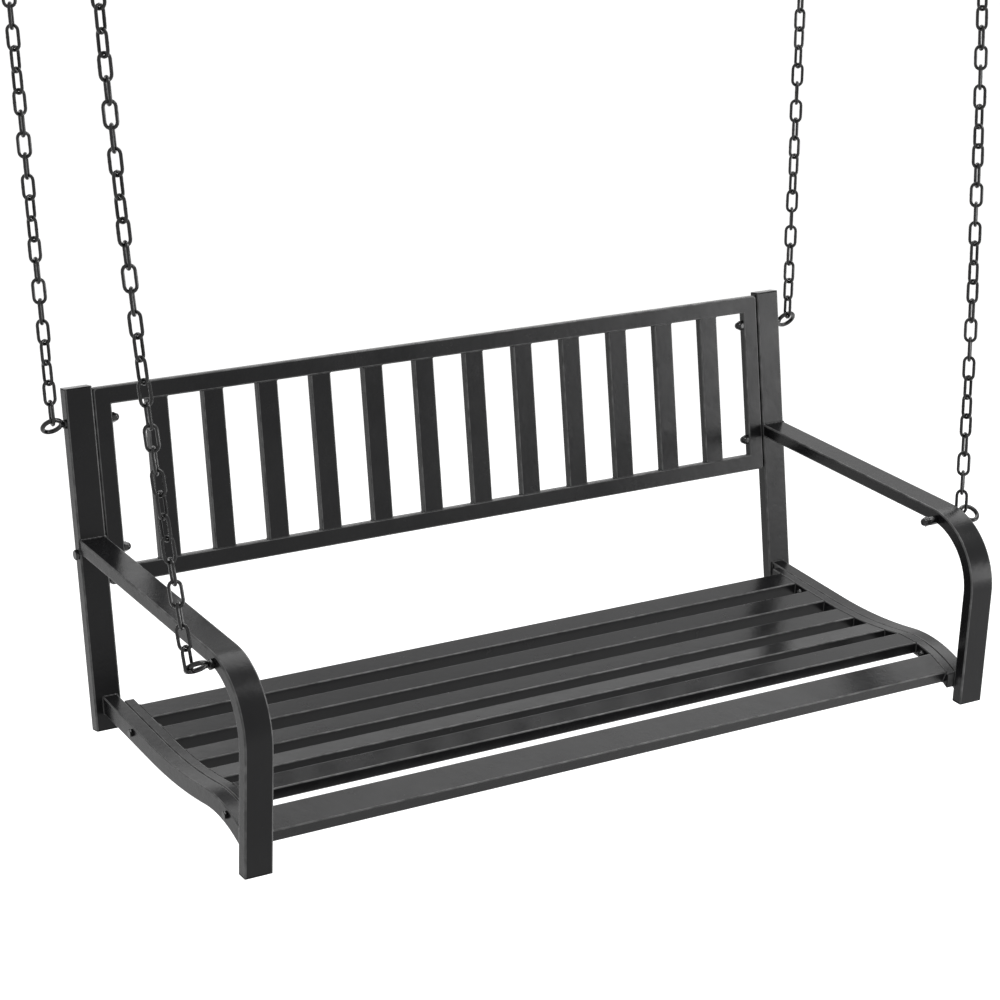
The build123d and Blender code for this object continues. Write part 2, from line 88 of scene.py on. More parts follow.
def leaning(x, depth, height):
    # point = bench foot + x right + depth through + height along
    x, depth, height = spread(x, depth, height)
    return np.array(hang["foot"]) + x * right + depth * through + height * along


# Finishes: powder coat in three grades, worked out from Object coordinates. Rounded edges are painted
# lighter, partly as wear and partly as a painted highlight.

finishes = {
    # the frame's light edge colour is a painted highlight along its rounded edges as well as wear
    "frame": {"tone": (0.006, 0.006, 0.0065), "dust": (0.0095, 0.0095, 0.01), "worn": (0.2, 0.2, 0.2),
              "gloss": 0.16, "rough": (0.2, 0.28), "peel": 0.08, "grain": 620.0},
    "chain": {"tone": (0.004, 0.004, 0.0043), "dust": (0.008, 0.008, 0.0085), "worn": (0.05, 0.049, 0.048),
              "gloss": 0.32, "rough": (0.14, 0.26), "peel": 0.14, "grain": 900.0},
    "fasteners": {"tone": (0.003, 0.003, 0.0033), "dust": (0.006, 0.006, 0.0065), "worn": (0.03, 0.03, 0.03),
                  "gloss": 0.36, "rough": (0.09, 0.17), "peel": 0.05, "grain": 700.0},
}
# What the grades share. Dust and the edge wear with its painted highlight are clouds of noise given as scale,
# detail, low and high, sheen is scale and detail, relief is detail, low and high, and the two depths are in
# metres.
powder = {"ior": 1.5, "noise": (0.3, 0.7), "dust": (7.0, 4.0, 0.0, 1.0), "wear": (55.0, 3.0, 0.2, 0.62),
          "sheen": (30.0, 5.0), "relief": (2.0, 0.0, 1.0), "peelDeep": 0.0004, "flowDeep": 0.0015,
          "flowShare": 0.6, "flowWider": 6.0}


def coat(name, look):
    material = bpy.data.materials.new(name)
    material.use_nodes = True
    nodes, links = material.node_tree.nodes, material.node_tree.links
    shader = nodes["Principled BSDF"]
    shader.inputs["Metallic"].default_value = 0.0
    shader.inputs["IOR"].default_value = powder["ior"]
    shader.inputs["Specular IOR Level"].default_value = look["gloss"]
    place = nodes.new("ShaderNodeTexCoord")

    def cloud(scale, detail, low, high):  # noise spread from low to high
        noise = nodes.new("ShaderNodeTexNoise")
        noise.inputs["Scale"].default_value = scale
        noise.inputs["Detail"].default_value = detail
        links.new(place.outputs["Object"], noise.inputs["Vector"])
        stretch = nodes.new("ShaderNodeMapRange")
        stretch.inputs["From Min"].default_value = powder["noise"][0]
        stretch.inputs["From Max"].default_value = powder["noise"][1]
        stretch.inputs["To Min"].default_value = low
        stretch.inputs["To Max"].default_value = high
        links.new(noise.outputs["Fac"], stretch.inputs["Value"])
        return stretch.outputs["Result"]

    def blended(share, first, second):  # colour first, going over to second
        mix = nodes.new("ShaderNodeMix")
        mix.data_type = "RGBA"
        links.new(share, mix.inputs["Factor"])
        for socket, value in ((mix.inputs["A"], first), (mix.inputs["B"], second)):
            if isinstance(value, tuple):
                socket.default_value = (*value, 1.0)
            else:
                links.new(value, socket)
        return mix.outputs["Result"]

    def product(first, second):
        times = nodes.new("ShaderNodeMath")
        times.operation = "MULTIPLY"
        links.new(first, times.inputs[0])
        links.new(second, times.inputs[1])
        return times.outputs[0]

    def relief(strength, deep, scale):  # bump from a cloud
        bump = nodes.new("ShaderNodeBump")
        bump.inputs["Strength"].default_value = strength
        bump.inputs["Distance"].default_value = deep
        links.new(cloud(scale, *powder["relief"]), bump.inputs["Height"])
        return bump

    settled = blended(cloud(*powder["dust"]), look["tone"], look["dust"])
    edges = nodes.new("ShaderNodeAttribute")
    edges.attribute_name = "edge"
    # rounded edges go over to the lighter colour by this mask: wear and a painted highlight
    scuffedAndHighlit = product(edges.outputs["Fac"], cloud(*powder["wear"]))
    links.new(blended(scuffedAndHighlit, settled, look["worn"]), shader.inputs["Base Color"])
    links.new(cloud(*powder["sheen"], *look["rough"]), shader.inputs["Roughness"])
    peel = relief(look["peel"], powder["peelDeep"], look["grain"])
    flow = relief(look["peel"] * powder["flowShare"], powder["flowDeep"], look["grain"] / powder["flowWider"])
    links.new(peel.outputs["Normal"], flow.inputs["Normal"])
    links.new(flow.outputs["Normal"], shader.inputs["Normal"])
    return material


coats = {slot: coat(f"{slot}Coat", look) for slot, look in finishes.items()}
print("finishes mixed:", ", ".join(coats))


# Mesh helpers.

# How outlines and ends are rounded, metres and degrees.
section = {"steps": 3, "rim": 0.0005, "leastEdge": 0.0003, "endTurns": (0.0, 30.0, 60.0, 90.0), "sharp": 32.0}


def outline(wide, deep, radius):
    # rounded rectangle: corner centre + radius (cos a, sin a), with one more point each side
    # of every arc on the flat; edge is 1 on the arcs and 0 on the flats
    steps, rim = section["steps"], section["rim"]
    radius = min(radius, wide / 2 - rim, deep / 2 - rim)
    turns = np.radians(np.linspace(0.0, 90.0, steps + 1))
    arc = radius * np.stack([np.cos(turns), np.sin(turns)], 1)
    corner = np.vstack([[radius, -rim], arc, [-rim, radius]])
    corner += [wide / 2 - radius, deep / 2 - radius]
    mark = np.array([0.0] + [1.0] * (steps + 1) + [0.0])
    flip = np.array([[1, 1], [-1, 1], [-1, -1], [1, -1]])
    loops = [corner * f if n % 2 == 0 else (corner * f)[::-1] for n, f in enumerate(flip)]
    return np.vstack(loops), np.tile(mark, 4)


def skin(rings, edge=0.0, closed=False):
    # surface through a stack of closed rings (rows, columns, 3); point number = row columns +
    # column, and an open stack gets flat ends
    rows, columns = rings.shape[:2]
    row = np.arange(rows if closed else rows - 1)[:, None]
    column = np.arange(columns)[None, :]
    onward, beside = (row + 1) % rows, (column + 1) % columns
    quads = np.stack([row * columns + column, row * columns + beside,
                      onward * columns + beside, onward * columns + column], -1).reshape(-1, 4)
    blocks = [quads]
    if not closed:
        blocks += [np.arange(columns)[None, ::-1], np.arange((rows - 1) * columns, rows * columns)[None]]
    return rings.reshape(-1, 3), blocks, np.broadcast_to(edge, (rows, columns)).reshape(-1)


def carried(centres, across, outward, shapes):
    # ring point = centre + shape_x across + shape_y outward, for every centre and shape point
    centres, across, outward = (np.atleast_2d(v) for v in (centres, across, outward))
    return centres[:, None] + shapes[..., :1] * across[:, None] + shapes[..., 1:] * outward[:, None]


def finished(name, shells, slot, body, replaced):
    # joins shells into one object, points their faces outward and shades them smooth where they
    # meet at less than the sharp angle
    points, faces, edges, start = [], [], [], 0
    for shellPoints, shellBlocks, shellEdges in shells:
        points.append(shellPoints)
        for block in shellBlocks:
            faces += (block + start).tolist()
        edges.append(shellEdges)
        start += len(shellPoints)
    mesh = bpy.data.meshes.new(name)
    mesh.from_pydata(np.vstack(points), [], faces)
    whole = bmesh.new()
    whole.from_mesh(mesh)
    bmesh.ops.recalc_face_normals(whole, faces=whole.faces)
    whole.to_mesh(mesh)
    whole.free()
    mesh.attributes.new("edge", "FLOAT", "POINT").data.foreach_set("value", np.concatenate(edges))
    mesh.shade_smooth()
    mesh.set_sharp_from_angle(angle=math.radians(section["sharp"]))
    mesh.materials.append(coats[slot])
    piece = bpy.data.objects.new(name, mesh)
    scene.collection.objects.link(piece)
    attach(piece, body)
    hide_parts(*replaced)


def bar(start, direction, across, outward, length, wide, deep, edge, soft):
    # straight bar with rounded edges: rings at distance s along it, inset by i near each end,
    # where s = soft (1 - cos a) and i = soft (1 - sin a); rows inset by more than a quarter of
    # soft are marked as edge
    turns = np.radians(section["endTurns"])
    run, inset = soft * (1 - np.cos(turns)), soft * (1 - np.sin(turns))
    places = np.concatenate([run, [2 * soft], length - np.concatenate([[2 * soft], run[::-1]])])
    insets = np.concatenate([inset, [0.0, 0.0], inset[::-1]])
    shapes, marks = [], []
    for i in insets:
        shape, mark = outline(wide - 2 * i, deep - 2 * i, max(edge - i, section["leastEdge"]))
        shapes.append(shape)
        marks.append(np.maximum(mark, float(i > soft / 4)))
    centres = np.asarray(start) + places[:, None] * np.asarray(direction)
    return skin(carried(centres, across, outward, np.array(shapes)), np.array(marks))


weld = {"radius": 0.0017, "ripple": 0.16, "pitch": 0.0026, "step": 0.0011, "sides": 6, "worn": 0.3}


def bead(corners, axis, radius=weld["radius"]):
    # weld bead: round section of radius r (1 + ripple cos(2 pi s / pitch)) carried round a closed
    # line of points, s being the length along it
    corners = np.vstack([corners, corners[:1]])
    lengths = np.concatenate([[0.0], np.cumsum(np.linalg.norm(np.diff(corners, axis=0), axis=1))])
    s = np.linspace(0.0, lengths[-1], int(lengths[-1] / weld["step"]), endpoint=False)
    line = np.stack([np.interp(s, lengths, corners[:, k]) for k in range(3)], 1)
    ahead = np.roll(line, -1, 0) - np.roll(line, 1, 0)
    ahead /= np.linalg.norm(ahead, axis=1)[:, None]
    beside = np.cross(ahead, axis)
    beside /= np.linalg.norm(beside, axis=1)[:, None]
    swell = radius * (1 + weld["ripple"] * np.cos(2 * np.pi * s / weld["pitch"]))
    turns = np.linspace(0, 2 * np.pi, weld["sides"], endpoint=False)
    shape = swell[:, None, None] * np.stack([np.cos(turns), np.sin(turns)], 1)
    # the bead takes the lighter edge colour at this share, as wear and as a painted highlight
    return skin(carried(line, np.broadcast_to(axis, line.shape), beside, shape), weld["worn"], True)


def loopAt(centre, across, outward, wide, deep, edge):
    # outline of a bar as points in space
    return carried(centre, across, outward, outline(wide, deep, edge)[0][None])[0]


def weldedSlat(foot, direction, across, outward, length, wide, deep, edge, thinner, beadRadius):
    # bar with a weld bead round each end, on an outline a little thinner than the bar
    shells = [bar(foot, direction, across, outward, length, wide, deep, edge, post["endEdge"])]
    for end in (foot, foot + length * direction):
        shells.append(bead(loopAt(end, across, outward, wide, deep - thinner, edge), direction, beadRadius))
    return shells


# Side frames: posts, caps, arms.

caps = {"thick": 0.002, "foot": 0.003, "edge": 0.0007, "footEdge": 0.0009}
arm = {"top": 0.269, "legFront": -0.4688, "legBottom": -0.0068, "bend": 0.0955, "bendSteps": 20,
       "rearRow": 0.002, "lowRow": 0.001}
armMid = arm["top"] - post["deep"] / 2
legMid = arm["legFront"] + post["deep"] / 2


def rearPost(hand):
    foot = leaning(hand * postMid, post["deep"] / 2, caps["thick"])
    length = post["long"] - 2 * caps["thick"]
    return [bar(foot, along, right, through, length, post["wide"], post["deep"], post["edge"],
                post["endEdge"])]


def armTube(hand):
    # centre line: run square to the leg, quarter circle C + bend (cos a, sin a), leg; the first
    # two rings are sheared along the post's face, where back = up tan(lean)
    turns = np.radians(np.linspace(90.0, 180.0, arm["bendSteps"] + 1))
    bendBack, bendUp = legMid + arm["bend"], armMid - arm["bend"]
    legEnd = arm["legBottom"] + caps["foot"]
    back = np.concatenate([[0.0, -arm["rearRow"]], bendBack + arm["bend"] * np.cos(turns), [legMid, legMid]])
    up = np.concatenate([[armMid] * 2, bendUp + arm["bend"] * np.sin(turns),
                         [legEnd + arm["lowRow"], legEnd]])
    face = np.concatenate([[90.0, 90.0], np.degrees(turns), [180.0, 180.0]])
    outward = np.cos(np.radians(face))[:, None] * benchBack + np.sin(np.radians(face))[:, None] * benchUp
    shape, mark = outline(post["wide"], post["deep"], post["edge"])
    rings = carried(bench(hand * postMid, back, up), np.broadcast_to(right, outward.shape), outward,
                    np.broadcast_to(shape, (len(back), *shape.shape)))
    rings[:2] += ((armMid + shape[:, 1]) * math.tan(lean))[:, None] * benchBack
    return [skin(rings, np.broadcast_to(mark, rings.shape[:2])), bead(rings[0], through)]


for hand, word in ((-1, "left"), (1, "right")):
    finished(f"{word}RearPost", rearPost(hand), "frame", "bench", [f"{word}_rear_post"])
    finished(f"{word}ArmTube", armTube(hand), "frame", "bench", [f"{word}_arm_tube"])
postCaps = [bar(leaning(hand * postMid, post["deep"] / 2, height), along, right, through, caps["thick"],
                post["wide"], post["deep"], post["edge"], caps["edge"])
            for hand in (-1, 1) for height in (0.0, post["long"] - caps["thick"])]
finished("postCaps", postCaps, "frame", "bench", ["post_caps"])
footCaps = [bar(bench(hand * postMid, legMid, arm["legBottom"]), benchUp, right, benchBack, caps["foot"],
                post["wide"], post["deep"], post["edge"], caps["footEdge"]) for hand in (-1, 1)]
finished("footCaps", footCaps, "frame", "bench", ["foot_caps"])
print("side frames built")


# Seat: contoured tubes and slats.

seat = {"up": 0.0473, "slope": 1.85, "dishStarts": -0.152, "dishRadius": 0.79, "dishTurn": 12.2,
        "dishSteps": 12, "crestRadius": 0.201, "crestSteps": 14, "rear": -0.014, "front": -0.446,
        "railWide": 0.022, "railDeep": 0.0245, "railInset": 0.0128, "gap": 0.0008,
        "sideWide": 0.0145, "sideDeep": 0.020, "edge": 0.0015,
        "slatWide": 0.042, "slatDeep": (0.021, 0.021, 0.021, 0.020, 0.017, 0.021), "slatEdge": 0.0016,
        "slatPitch": 0.0745, "firstSlat": -0.054, "beadThinner": 0.0012, "bead": 0.0013,
        "boltsBack": (-0.09, -0.388), "boltDrop": 0.010}
plug = {"inside": 0.002, "long": 0.0026, "smaller": 0.003, "edge": 0.0012, "endEdge": 0.0005}
slope, dishTurn = math.radians(seat["slope"]), math.radians(seat["dishTurn"])
railX = post["half"] - seat["railInset"] - seat["railWide"] / 2
sideX = railX - seat["railWide"] / 2 - seat["gap"] - seat["sideWide"] / 2
seatIn = sideX - seat["sideWide"] / 2


def facing(turn):
    # unit normal of the contour, as (back, up), where its tangent has turned by this angle
    return np.stack([-np.sin(turn), np.cos(turn)], -1)


dishStart = np.array([seat["dishStarts"], seat["up"] + seat["dishStarts"] * math.tan(slope)])
dishCentre = dishStart + seat["dishRadius"] * facing(slope)
crestCentre = dishCentre - (seat["dishRadius"] + seat["crestRadius"]) * facing(slope - dishTurn)


def contourSpot(s):
    # back, up and tilt at a length s past the start of the dish: line, then
    # dishCentre - R n(slope - s / R), then crestCentre + r n(slope - dishTurn + s' / r)
    dishLength = seat["dishRadius"] * dishTurn
    if s < 0:
        return (*(dishStart - s * np.array([math.cos(slope), math.sin(slope)])), slope)
    if s < dishLength:
        turn = slope - s / seat["dishRadius"]
        return (*(dishCentre - seat["dishRadius"] * facing(turn)), turn)
    turn = slope - dishTurn + (s - dishLength) / seat["crestRadius"]
    return (*(crestCentre + seat["crestRadius"] * facing(turn)), turn)


def contourAt(back):
    # contour's up and tilt at a distance back, on the straight part or on the crest
    if back > seat["dishStarts"]:
        return seat["up"] + back * math.tan(slope), slope
    turn = math.asin((crestCentre[0] - back) / seat["crestRadius"])
    return crestCentre[1] + seat["crestRadius"] * math.cos(turn), turn


def contourTube(x, wide, deep, rearAtPost, frontBack):
    # every point of the outline follows its own line at a depth d under the contour: flat, then
    # dishCentre - (R + d) n, then crestCentre + (r - d) n, up to the plane of the front cut. The
    # rear end is cut on the post's face, where back = up tan(lean), or on the plane back = rear
    shape, mark = outline(wide, deep, seat["edge"])
    depth = deep / 2 - shape[:, 1]
    if rearAtPost:
        rise = math.tan(lean)
        rear = (seat["up"] - depth / math.cos(slope)) * rise / (1 - math.tan(slope) * rise)
    else:
        rear = np.full_like(depth, seat["rear"])
    rearUp = seat["up"] + rear * math.tan(slope) - depth / math.cos(slope)
    flat = np.stack([np.stack([rear, rearUp], -1), dishStart - depth[:, None] * facing(slope)])
    turns = slope - np.linspace(0.0, dishTurn, seat["dishSteps"] + 1)[1:]
    dish = dishCentre - (seat["dishRadius"] + depth)[None, :, None] * facing(turns)[:, None]
    endTurn = np.arcsin((crestCentre[0] - frontBack) / (seat["crestRadius"] - depth))
    share = np.linspace(0.0, 1.0, seat["crestSteps"] + 1)[1:, None]
    turns = (slope - dishTurn) * (1 - share) + endTurn * share
    crest = crestCentre + (seat["crestRadius"] - depth)[None, :, None] * facing(turns)
    line = np.concatenate([flat, dish, crest])
    rings = bench(x + shape[None, :, 0], line[..., 0], line[..., 1])
    return rings, np.broadcast_to(mark, rings.shape[:2])


for hand, word in ((-1, "left"), (1, "right")):
    rings, mark = contourTube(hand * railX, seat["railWide"], seat["railDeep"], True,
                              arm["legFront"] + post["deep"])
    finished(f"{word}SeatRail", [skin(rings, mark), bead(rings[0], through), bead(rings[-1], benchBack)],
             "frame", "bench", [f"{word}_seat_rail"])
    rings, mark = contourTube(hand * sideX, seat["sideWide"], seat["sideDeep"], False, seat["front"])
    finished(f"{word}SeatSideTube", [skin(rings, mark)], "frame", "bench", [f"{word}_seat_side_tube"])

firstAlong = (seat["dishStarts"] - seat["firstSlat"]) / math.cos(slope)
for number, deep in enumerate(seat["slatDeep"]):
    back, up, tilt = contourSpot(firstAlong + number * seat["slatPitch"])
    acrossSlat = math.cos(tilt) * benchBack + math.sin(tilt) * benchUp
    faceSlat = -math.sin(tilt) * benchBack + math.cos(tilt) * benchUp
    shells = weldedSlat(bench(-seatIn, back, up) - deep / 2 * faceSlat, right, acrossSlat, faceSlat,
                        2 * seatIn, seat["slatWide"], deep, seat["slatEdge"], seat["beadThinner"],
                        seat["bead"])
    finished(f"seatSlat{number + 1}", shells, "frame", "bench", [f"seat_slat_{number + 1}"])
plugs = []
for hand in (-1, 1):
    for back, way in ((seat["rear"], 1), (seat["front"], -1)):
        up, tilt = contourAt(back)
        high = seat["sideDeep"] / math.cos(tilt)
        inside = bench(hand * sideX, back - way * plug["inside"], up - high / 2)
        plugs.append(bar(inside, way * benchBack, right, benchUp, plug["long"],
                         seat["sideWide"] - plug["smaller"], high - plug["smaller"],
                         plug["edge"], plug["endEdge"]))
finished("seatTubePlugs", plugs, "frame", "bench", ["seat_tube_plugs"])
print("seat built")


# Backrest: frame of four mitred tubes, twelve upright slats.

panel = {"gap": 0.0018, "setback": 0.0015, "deep": 0.0125, "tube": 0.025, "low": 0.2035, "high": 0.481,
         "outerCorner": 0.005, "innerCorner": 0.0012, "cornerSteps": 4, "edge": 0.0017, "slats": 12,
         "slatWide": 0.032, "slatPitch": 0.0852, "beadThinner": 0.0014, "bead": 0.0012}
panelHalf = postIn - panel["gap"]
panelMid = panel["setback"] + panel["deep"] / 2


def panelSide(turn):
    # one mitred tube: straight run between two corners. Its inner line is ci + ri (cos a, sin a)
    # and its outer line co + ro (cos a, sin a), about the centres of the corners' arcs, and every
    # point of the section lies between the two by its share of the width; turn is how many
    # quarter turns from the right stile
    halfHigh = (panel["high"] - panel["low"]) / 2
    reachX, reachY = (panelHalf, halfHigh) if turn % 2 == 0 else (halfHigh, panelHalf)
    steps = panel["cornerSteps"]
    angles = np.radians(np.concatenate([np.linspace(-45.0, 0.0, steps), np.linspace(0.0, 45.0, steps)]))
    ends = np.repeat([-1.0, 1.0], steps)
    ro, ri, tube = panel["outerCorner"], panel["innerCorner"], panel["tube"]
    outer = np.stack([reachX - ro + ro * np.cos(angles), ends * (reachY - ro) + ro * np.sin(angles)], -1)
    inner = np.stack([reachX - tube - ri + ri * np.cos(angles),
                      ends * (reachY - tube - ri) + ri * np.sin(angles)], -1)
    shape, mark = outline(tube, panel["deep"], panel["edge"])
    share = (shape[:, 0] / tube + 0.5)[None, :, None]
    line = inner[:, None] * (1 - share) + outer[:, None] * share
    spin = math.radians(90.0 * turn)
    x = line[..., 0] * math.cos(spin) - line[..., 1] * math.sin(spin)
    y = line[..., 0] * math.sin(spin) + line[..., 1] * math.cos(spin)
    rings = leaning(x, panelMid + shape[None, :, 1], (panel["high"] + panel["low"]) / 2 + y)
    return [skin(rings, np.broadcast_to(mark, rings.shape[:2]))]


for turn, (name, node) in enumerate((("rightBackrestStile", "right_backrest_stile"),
                                     ("backrestTopRail", "backrest_top_rail"),
                                     ("leftBackrestStile", "left_backrest_stile"),
                                     ("backrestBottomRail", "backrest_bottom_rail"))):
    finished(name, panelSide(turn), "frame", "bench", [node])
slatLow, slatHigh = panel["low"] + panel["tube"], panel["high"] - panel["tube"]
for number in range(panel["slats"]):
    x = (number - (panel["slats"] - 1) / 2) * panel["slatPitch"]
    shells = weldedSlat(leaning(x, panelMid, slatLow), along, right, through, slatHigh - slatLow,
                        panel["slatWide"], panel["deep"], panel["edge"], panel["beadThinner"],
                        panel["bead"])
    finished(f"backrestSlat{number + 1:02d}", shells, "frame", "bench", [f"backrest_slat_{number + 1:02d}"])
print("backrest built")


# Bolts, nuts and eyes.

bolts = {"shank": 0.0038, "ring": 0.033, "wire": 0.0065, "ringSteps": 22, "ringSides": 14,
         "collarRadius": 0.0065, "collarThick": 0.0035, "across": 0.013, "nutThick": 0.006,
         "ringGap": 0.0005, "capNut": 0.012, "intoCap": 0.6, "headThick": 0.0053, "spacer": 0.015,
         "spacerEdge": 0.0003, "lowNut": 0.003, "lowWasher": 0.0009, "backIn": 0.0088, "rearUp": 0.436,
         "lowerUp": 0.253, "frontEye": (-0.376, 0.254), "seatRadius": 0.003, "seatAcross": 0.010,
         "seatHead": 0.0043, "seatNut": 0.009}
# Turned profiles. Shank: rows from its tip, rows before the middle of the ring's wire and what
# the radius gains, in metres. Collar: rows and radii as shares of its thickness and radius.
shankRows = {"tip": (0.0, 0.0006), "ring": (0.0045, 0.003, 0.0018, 0.0008, -0.0012),
             "gain": (-0.0006, 0.0, 0.0, 0.0, 0.0001, 0.0003, 0.0002)}
collarRows = {"heights": (0.0, 0.0, 0.12, 0.35, 0.75, 0.93, 1.0, 1.0),
              "radii": (0.5, 0.95, 1.0, 1.0, 1.0, 0.97, 0.9, 0.5)}
# Nuts and heads: rows as shares of the thickness, radii as shares of the width across.
hexagon = {"columns": 48, "rows": (0.0, 0.0, 0.06, 0.12, 0.2, 0.8, 0.88, 0.94, 1.0), "cone": 0.93,
           "coneTurn": 32.0, "foot": 0.2, "nearSide": 0.985, "worn": 0.8, "dome": 0.455,
           "domeTurn": 88.0, "domeRows": 10, "domePower": 0.9}
rod = {"edge": 0.0004, "rows": (0.0, 0.3, 1.0), "columns": 28}
ringRadius = (bolts["ring"] - bolts["wire"]) / 2
stileIn = panelHalf - panel["tube"]
eyes = {"rear_left": {"hand": -1, "tilt": -36.0, "grip": 10.0, "links": 21},
        "rear_right": {"hand": 1, "tilt": -31.0, "grip": -12.0, "links": 21},
        "front_left": {"hand": -1, "tilt": -45.0, "grip": 65.0, "links": 30},
        "front_right": {"hand": 1, "tilt": 60.0, "grip": -35.0, "links": 30}}


def square(axis):
    # two unit directions square to an axis and to each other, the first from the cross product
    # with plumb, or with right for a plumb axis
    first = np.cross(axis, right if np.allclose(axis, plumb) else plumb)
    first /= np.linalg.norm(first)
    return first, np.cross(axis, first)


def turned(start, axis, heights, radii, edge=0.0):
    # point = start + height axis + radius(height, a) (cos a first + sin a second); a row of radii
    # for each height, or one radius where it is the same all round
    radii = radii.reshape(len(heights), -1)
    columns = radii.shape[1] if radii.shape[1] > 1 else rod["columns"]
    turns = np.linspace(0, 2 * np.pi, columns, endpoint=False)
    radii = np.broadcast_to(radii, (len(heights), columns))
    first, second = square(axis)
    around = np.cos(turns)[:, None] * first + np.sin(turns)[:, None] * second
    return skin(start + heights[:, None, None] * axis + radii[..., None] * around, edge)


def hexRadius(across):
    # distance from the axis to a hexagon's side, across / 2 / cos(angle from the side's middle)
    turns = np.linspace(0, 2 * np.pi, hexagon["columns"], endpoint=False)
    return across / 2 / np.cos((turns + np.pi / 6) % (np.pi / 3) - np.pi / 6)


def hexPiece(start, axis, across, thick, dome=0.0):
    # nut or head: the smaller of the hexagon and a cone from each face. With a dome, a rounded cap
    # of height dome stands on it: at height thick + (dome - thick) sin a, its radius is
    # base (cos a)^power
    side = hexRadius(across)[None, :]
    heights = np.array(hexagon["rows"]) * thick
    cone = (across / 2 * hexagon["cone"]
            + np.minimum(heights, thick - heights) / math.tan(math.radians(hexagon["coneTurn"])))
    radii = np.minimum(side, cone[:, None])
    radii[0] = across * hexagon["foot"]
    marks = (radii > side * hexagon["nearSide"]) * hexagon["worn"]
    if dome:
        t = np.sin(np.radians(np.linspace(0, hexagon["domeTurn"], hexagon["domeRows"])))
        domeRadii = across * hexagon["dome"] * np.sqrt(1 - t ** 2) ** hexagon["domePower"]
        heights = np.concatenate([heights, thick + (dome - thick) * t])
        radii = np.vstack([radii, np.repeat(domeRadii[:, None], radii.shape[1], 1)])
        marks = np.vstack([marks, np.zeros((len(t), marks.shape[1]))])
    return turned(start, axis, heights, radii, marks)


def plainRod(start, axis, radius, length, soft=rod["edge"]):
    # round rod: at s, s being 0, 0.3 and 1 times soft from either end, its radius is r - soft,
    # r - 0.3 soft and r
    run = soft * np.array(rod["rows"])
    heights = np.concatenate([run, length - run[::-1]])
    return turned(start, axis, heights, radius - np.concatenate([run[::-1], run]))


loop = {"seamRows": (0.0032, 0.0018, 0.0009, -0.0009, -0.0018, -0.0032), "seamLong": 0.0013,
        "wornSlope": 2.2, "wornStart": 1.2, "worn": 0.9, "onSide": 0.999}


def wireLoop(centre, across, axis, radius, halfStraight, wire, steps, sides, seam=0.0):
    # closed wire: half circles of this radius about +-halfStraight on the axis, joined by straight
    # sides. The left side is welded: its wire radius is multiplied by 1 + seam
    # exp(-(s / seamLong)^2) at s from its middle. A link's inner side is worn towards its ends
    half = np.radians(np.linspace(0.0, 180.0, steps + 1))
    bow = radius * np.stack([np.cos(half), np.sin(half)], 1)
    top, foot = bow + [0, halfStraight], -bow - [0, halfStraight]
    side = np.array(loop["seamRows"] if seam else ())
    if not halfStraight:
        top, foot = top[:-1], foot[:-1]
    path = np.vstack([top, np.stack([np.full(len(side), -radius), side], 1), foot])
    inward = np.vstack([top - [0, halfStraight], np.stack([np.full(len(side), -radius), 0 * side], 1),
                        foot + [0, halfStraight]]) / radius
    onSide = path[:, 0] < -radius * loop["onSide"]
    swell = 1 + seam * np.exp(-(path[:, 1] / loop["seamLong"]) ** 2) * onSide
    turns = np.linspace(0, 2 * np.pi, sides, endpoint=False)
    normal = np.cross(across, axis)
    outward = inward[:, :1] * across + inward[:, 1:] * axis
    shape = wire * swell[:, None, None] * np.stack([np.cos(turns), np.sin(turns)], 1)
    line = centre + path[:, :1] * across + path[:, 1:] * axis
    rings = carried(line, outward, np.broadcast_to(normal, line.shape), shape)
    if not halfStraight:
        return skin(rings, closed=True)
    reach = np.abs(path[:, 1]) / (halfStraight + radius)
    worn = np.clip(reach * loop["wornSlope"] - loop["wornStart"], 0, 1)[:, None]
    worn = worn * np.clip(-np.cos(turns), 0, 1)[None, :]
    return skin(rings, worn * loop["worn"], True)


def ring(centre, across, axis):
    # the same ring for every eye
    return wireLoop(centre, across, axis, ringRadius, 0.0, bolts["wire"] / 2, bolts["ringSteps"],
                    bolts["ringSides"])


def eyeCentre(name):
    # middle of a ring: outside the post past its collar, or outside the arm past its nut
    hand = eyes[name]["hand"]
    if name.startswith("rear"):
        x = post["half"] + bolts["collarThick"] + bolts["ring"] / 2
        return leaning(hand * x, bolts["backIn"], bolts["rearUp"])
    x = post["half"] + bolts["nutThick"] + bolts["ringGap"] + bolts["ring"] / 2
    return bench(hand * x, *bolts["frontEye"])


def grip(name):
    # middle of the ring's wire where the chain hangs, the wire's direction there and the direction
    # out to it: ring top leans back by tilt, grip is the angle outward from the top
    eye = eyes[name]
    tilt, angle = math.radians(eye["tilt"]), math.radians(eye["grip"])
    out, top = right * eye["hand"], benchUp * math.cos(tilt) + benchBack * math.sin(tilt)
    reach = top * math.cos(angle) + out * math.sin(angle)
    return eyeCentre(name) + reach * ringRadius, out * math.cos(angle) - top * math.sin(angle), reach


